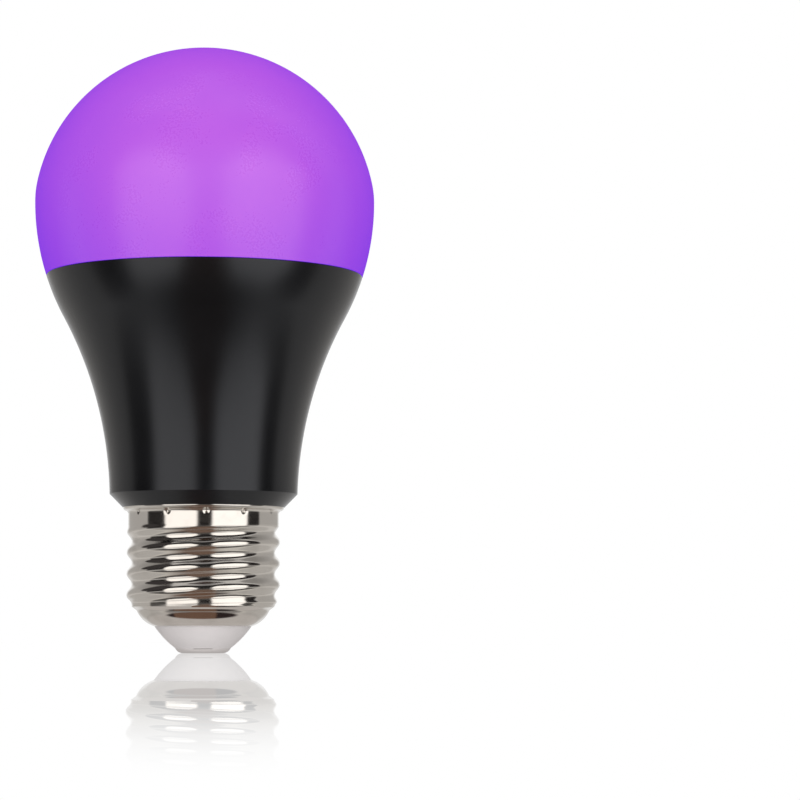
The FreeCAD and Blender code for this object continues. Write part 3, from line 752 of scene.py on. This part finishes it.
# What is inside keeps its CAD shape: light and dark colour, metallic, roughness, grain in mm and its depth
insideFinishes = {
    "heat_sink": ("pressedAluminium", (0.62, 0.63, 0.64), (0.50, 0.51, 0.52), 1.0, 0.32, 0.5, 0.02),
    "light_board": ("whiteMask", (0.80, 0.80, 0.78), (0.70, 0.70, 0.69), 0.0, 0.35, 1.2, 0.01),
    "lights": ("lightPackage", (0.82, 0.80, 0.74), (0.72, 0.66, 0.40), 0.0, 0.30, 0.6, 0.01),
    "board_screws": ("screwSteel", (0.60, 0.59, 0.57), (0.42, 0.41, 0.40), 1.0, 0.28, 0.3, 0.01),
    "output_pins": ("pinBrass", (0.75, 0.58, 0.28), (0.60, 0.45, 0.20), 1.0, 0.25, 0.3, 0.01),
    "pin_socket": ("socketPlastic", (0.75, 0.73, 0.66), (0.66, 0.64, 0.58), 0.0, 0.45, 0.4, 0.01),
    "driver_board": ("greenLaminate", (0.05, 0.22, 0.07), (0.03, 0.14, 0.05), 0.0, 0.40, 0.7, 0.02),
    "film_capacitor": ("filmCase", (0.62, 0.42, 0.08), (0.50, 0.33, 0.06), 0.0, 0.35, 0.8, 0.02),
    "bulk_capacitor": ("blackSleeve", (0.02, 0.02, 0.025), (0.05, 0.05, 0.055), 0.0, 0.30, 0.9, 0.01),
    "output_capacitor": ("greenSleeve", (0.03, 0.10, 0.08), (0.02, 0.06, 0.05), 0.0, 0.30, 0.9, 0.01),
    "bridge_rectifier": ("moulding", (0.03, 0.03, 0.03), (0.015, 0.015, 0.015), 0.0, 0.55, 0.25, 0.02),
    "driver_chip": ("chipMoulding", (0.03, 0.03, 0.032), (0.016, 0.016, 0.017), 0.0, 0.50, 0.2, 0.02),
    "chip_resistors": ("darkCeramic", (0.05, 0.05, 0.055), (0.55, 0.55, 0.55), 0.0, 0.40, 0.8, 0.01),
    "choke_core": ("darkFerrite", (0.05, 0.05, 0.05), (0.03, 0.03, 0.03), 0.0, 0.60, 0.3, 0.03),
    "choke_bobbin": ("bobbinPlastic", (0.04, 0.035, 0.03), (0.02, 0.018, 0.015), 0.0, 0.45, 0.6, 0.01),
    "choke_winding": ("enamelledCopper", (0.70, 0.30, 0.10), (0.45, 0.16, 0.05), 1.0, 0.30, 0.35, 0.06),
    "fuse_resistor": ("resistorCoat", (0.10, 0.30, 0.35), (0.07, 0.22, 0.27), 0.0, 0.45, 0.5, 0.02),
    "fuse_tube": ("shrunkTube", (0.03, 0.03, 0.03), (0.015, 0.015, 0.015), 0.0, 0.50, 0.6, 0.02),
    "neutral_lead": ("leadCover", (0.70, 0.70, 0.68), (0.60, 0.60, 0.58), 0.0, 0.40, 0.6, 0.01),
}


# How clouds and grain vary what is inside; the clouds' size is a multiple of the grain's
insideGrain = {
    "cloudSize": 6.0,
    "cloudDetail": 2.0,
    "fineDetail": 3.0,
    "cloudSpread": 0.12,
    "fineSpread": 0.06,
    "bump": 0.5,
}


def insideFinish(name, pale, dark, metallic, roughness, grain, depth):
    finish = Finish(name)
    clouds = finish.noise(grain * insideGrain["cloudSize"], insideGrain["cloudDetail"])
    fine = finish.noise(grain, insideGrain["fineDetail"])
    cloudy = roughness + insideGrain["cloudSpread"] * (clouds - 0.5)
    return finish.surface({
        "Base Color": finish.colours((*pale, 1.0), (*dark, 1.0), clouds),
        "Metallic": metallic,
        "Roughness": cloudy + insideGrain["fineSpread"] * (fine - 0.5),
        "Normal": finish.bump(fine, depth, insideGrain["bump"]),
    })


for nodeName, recipe in insideFinishes.items():
    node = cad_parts[nodeName]
    node.data.materials.clear()
    node.data.materials.append(insideFinish(*recipe))
print("inside finishes:", len(insideFinishes))


# The stage: a white floor that mirrors the bulb near its foot. What the bulb mirrors of the floor is partly
# painted
# reflection: a ring mirrors less and is painted dark in the middle and pale to the sides, and a dark patch below
# the bowl, brown in its middle, is painted reflection; places on it are millimetres from the axis, turns in
# degrees.
floor = {
    "half": 6.0,
    "mirror": 0.53,
    "fade": (300.0, 405.0),
    "mirrorInGloss": 0.75,
    "footMirror": (14.0, 19.0),
    "dullNear": (32.0, 52.0),
    "dullFar": (88.0, 130.0),
    "dullShare": 0.6,
    "dullTurn": (12.0, 48.0),
    # Painted reflection colours of the ring: dark in the middle, pale to the sides
    "paintedRingMiddle": (0.10, 0.095, 0.09, 1.0),
    "paintedRingSide": (0.66, 0.64, 0.62, 1.0),
    "glossGlow": (0.30, 0.29, 0.28, 1.0),
    "footGlow": (0.56, 0.53, 0.51, 1.0),
    "diffuseGlow": (0.60, 0.59, 0.58, 1.0),
    "patch": (13.2, 2.9),
    "patchBend": 0.0003,
    "patchTurn": (-2.0, 53.0),
    "patchEdge": (0.75, 1.15),
    "patchBrown": (0.17, 0.10, 0.07, 1.0),
    "patchDark": (0.03, 0.02, 0.02, 1.0),
    "brownTurn": (-41.0, 18.0),
    "brownSoft": 5.0,
    "white": (1.0, 1.0, 1.0, 1.0),
}


# A direction's turn away from the camera's side, in degrees, positive to the right
def turnOf(x, y):
    return x.math("ARCTAN2", x, 0.0 - y) * math.degrees(1.0)


# How far a point lies out in an oval, which reaches to one; each pair is a middle and a half width
def ovalOf(first, firstSpan, second, secondSpan):
    across = (first - firstSpan[0]) / firstSpan[1]
    along = (second - secondSpan[0]) / secondSpan[1]
    return across * across + along * along


def floorFinish():
    finish = Finish("glossyWhite")
    x, y = finish.axes()[:2]
    path = finish.node("ShaderNodeLightPath").outputs
    seen = finish.shade(path["Is Camera Ray"])
    away = (x * x + y * y).root()
    turn = turnOf(x, y)
    near = finish.ranged(away, *floor["fade"], floor["mirror"], 0.0)
    foot = finish.rising(away, *floor["footMirror"])
    dull = finish.rising(away, *floor["dullNear"]) * finish.falling(away, *floor["dullFar"])
    glossShare = (1.0 - seen) * foot * floor["mirrorInGloss"] * (1.0 - dull * floor["dullShare"])
    share = seen * near + glossShare
    # Painted reflection: a dark oval below the bowl, brown in its middle, mirrored by the cap in place of the
    # housing
    bent = away - floor["patchBend"] * turn * turn
    patch = finish.falling(ovalOf(bent, floor["patch"], turn, floor["patchTurn"]), *floor["patchEdge"])
    brown = finish.band(turn, *floor["brownTurn"], floor["brownSoft"])
    paintedReflection = finish.colours(floor["patchDark"], floor["patchBrown"], brown)
    # In a ring round the bulb the floor shows reflections a painted reflection, dark in the middle, pale to the
    # sides
    dullTurn = finish.rising(turn.size(), *floor["dullTurn"])
    paintedRingGlow = finish.colours(floor["paintedRingMiddle"], floor["paintedRingSide"], dullTurn)
    # Painted reflection: the floor looks grey to the bulb's reflections, paler near its foot
    gloss = finish.colours(floor["footGlow"], floor["glossGlow"], foot)
    gloss = finish.colours(finish.colours(gloss, paintedRingGlow, dull), paintedReflection, patch)
    glow = finish.colours(gloss, floor["diffuseGlow"], path["Is Diffuse Ray"])
    glow = finish.colours(glow, floor["white"], seen)
    paper = finish.node("ShaderNodeEmission", None, {"Color": glow, "Strength": 1.0})
    mirror = finish.node("ShaderNodeBsdfGlossy", None, {"Color": floor["white"], "Roughness": 0.0})
    top = finish.node("ShaderNodeMixShader", None, {0: share, 1: paper.outputs[0], 2: mirror.outputs[0]})
    clear = finish.node("ShaderNodeBsdfTransparent")
    back = finish.node("ShaderNodeNewGeometry").outputs["Backfacing"]
    both = finish.node("ShaderNodeMixShader", None, {0: back, 1: top.outputs[0], 2: clear.outputs[0]})
    finish.tree.links.new(both.outputs[0], finish.output.inputs[0])
    return finish.material


floorMesh = bmesh.new()
bmesh.ops.create_grid(floorMesh, x_segments=1, y_segments=1, size=floor["half"])
card = placed(floorMesh, "floor", floorFinish())


# Two soft lights stand in front; each has its turn from the camera's side, seen from above
softLights = {
    "turns": {"leftLight": -25.0, "rightLight": 25.0},
    "width": 0.50,
    "height": 0.8,
    "radius": 0.60,
    "z": 0.15,
    "radiance": 2.95,
}

for name, turn in softLights["turns"].items():
    angle = math.radians(turn)
    radius = softLights["radius"]
    place = Vector((radius * math.sin(angle), -radius * math.cos(angle), softLights["z"]))
    light = bpy.data.lights.new(name, "AREA")
    light.shape = "RECTANGLE"
    light.size = softLights["width"]
    light.size_y = softLights["height"]
    light.energy = softLights["radiance"] * math.pi * light.size * light.size_y
    lamp = bpy.data.objects.new(name, light)
    lamp.location = place
    aim = Vector((0.0, 0.0, softLights["z"])) - place
    lamp.rotation_euler = aim.to_track_quat("-Z", "Y").to_euler()
    lamp.visible_camera = False
    lamp.visible_glossy = False
    bpy.context.scene.collection.objects.link(lamp)


# The room that glossy surfaces mirror: two bright boxes in front with dark round them, light at the sides and
# white far behind; what is seen by way of the floor is brown in the middle and pale to the sides.
# Turns and rises are in degrees, and four numbers are two turns and the rise or share at each.
room = {
    "white": (1.0, 1.0, 1.0, 1.0),
    "whiteTurn": (150.0, 168.0),
    "frontTurn": 96.0,
    "frontSoft": 6.0,
    "behind": (0.47, 0.455, 0.44, 1.0),
    "behindHigh": (0.30, 0.29, 0.28, 1.0),
    "highRise": (18.0, 48.0),
    "behindFloor": (0.61, 0.59, 0.565, 1.0),
    "ceilingMiddle": (0.28, 0.275, 0.275, 1.0),
    "ceilingSide": (0.66, 0.645, 0.63, 1.0),
    "ceilingTurn": (4.0, 48.0),
    "panel": (0.05, 0.045, 0.045, 1.0),
    "panelTurn": (-92.0, 26.0),
    "panelRise": (34.0, 26.0),
    "panelEdge": (0.8, 1.2),
    "floorMiddle": (0.135, 0.055, 0.020, 1.0),
    "floorSide": (0.80, 0.77, 0.72, 1.0),
    "floorLeft": (-98.0, -44.0),
    "floorRight": (24.0, 68.0),
    "gap": (0.02, 0.018, 0.018, 1.0),
    "gapHigh": (0.0, 40.0, 52.0, 65.0),
    "gapLow": (4.0, 40.0, 14.0, 62.0),
    "gapSide": (50.0, 45.0),
    "gapEdge": (0.86, 1.14),
    "boxTop": (4.0, 26.0, 12.0, 37.0),
    "boxEnd": (48.0, 84.0, 1.0, 0.45),
    "boxEdge": (0.9, 1.1),
    "boxSoft": 5.0,
    "boxes": (
        {"cut": (13.0, 70.0), "straight": (1.50, 1.46, 1.42, 1.0), "byFloor": (1.90, 1.85, 1.80, 1.0)},
        {"cut": (-61.0, -9.5), "straight": (1.44, 1.39, 1.34, 1.0), "byFloor": (1.75, 1.69, 1.63, 1.0)},
    ),
    "straightDepth": 2.5,
    "ambient": 0.15,
    "overhead": 0.5,
}


# What a surface mirrors in front of the bulb, straight or by way of the floor
def frontRoom(finish, turn, rise, far, gapTop, way):
    aside = turn.size()
    sideways = ((aside - room["gapSide"][0]) / room["gapSide"][1]).largest(0.0)
    upwards = rise.size() / finish.ranged(aside, *gapTop)
    dark = finish.falling(sideways * sideways + upwards * upwards, *room["gapEdge"])
    front = finish.colours(far, room["gap"], dark)
    boxTop = finish.ranged(aside, *room["boxTop"]) * finish.ranged(aside, *room["boxEnd"])
    lit = finish.falling(rise.size() / boxTop, *room["boxEdge"])
    for box in room["boxes"]:
        front = finish.colours(front, box[way], lit * finish.band(turn, *box["cut"], room["boxSoft"]))
    return front


def roomFinish():
    world = bpy.data.worlds.new("whiteRoom")
    bpy.context.scene.world = world
    finish = Finish("whiteRoom", world)
    x, y, z = finish.axes()
    path = finish.node("ShaderNodeLightPath").outputs
    turn = turnOf(x, y)
    rise = z.math("ARCSINE", z) * math.degrees(1.0)
    aside = turn.size()
    inFront = finish.band(turn, -room["frontTurn"], room["frontTurn"], room["frontSoft"])
    ceilingTurn = finish.rising(aside, *room["ceilingTurn"])
    ceiling = finish.colours(room["ceilingMiddle"], room["ceilingSide"], ceilingTurn)
    panel = finish.falling(ovalOf(turn, room["panelTurn"], rise, room["panelRise"]), *room["panelEdge"])
    behind = finish.colours(room["behind"], room["behindHigh"], finish.rising(rise, *room["highRise"]))
    straight = frontRoom(finish, turn, rise, ceiling, room["gapHigh"], "straight")
    straight = finish.colours(finish.colours(behind, straight, inFront), room["panel"], panel)
    floorTurn = finish.falling(turn, *room["floorLeft"]) + finish.rising(turn, *room["floorRight"])
    mirrored = finish.colours(room["floorMiddle"], room["floorSide"], floorTurn)
    mirrored = frontRoom(finish, turn, rise, mirrored, room["gapLow"], "byFloor")
    mirrored = finish.colours(room["behindFloor"], mirrored, inFront)
    isStraight = finish.shade(path["Ray Depth"]).below(room["straightDepth"])
    glossy = finish.colours(mirrored, straight, isStraight)
    glossy = finish.colours(glossy, room["white"], finish.rising(aside, *room["whiteTurn"]))
    diffuse = finish.ranged(rise, 0.0, 90.0, room["ambient"], room["ambient"] + room["overhead"])
    lit = finish.colours(glossy, diffuse, path["Is Diffuse Ray"])
    seen = finish.colours(lit, room["white"], path["Is Camera Ray"])
    walls = finish.node("ShaderNodeBackground", None, {"Color": seen, "Strength": 1.0})
    finish.tree.links.new(walls.outputs[0], finish.output.inputs[0])


roomFinish()
print("stage and lights placed")
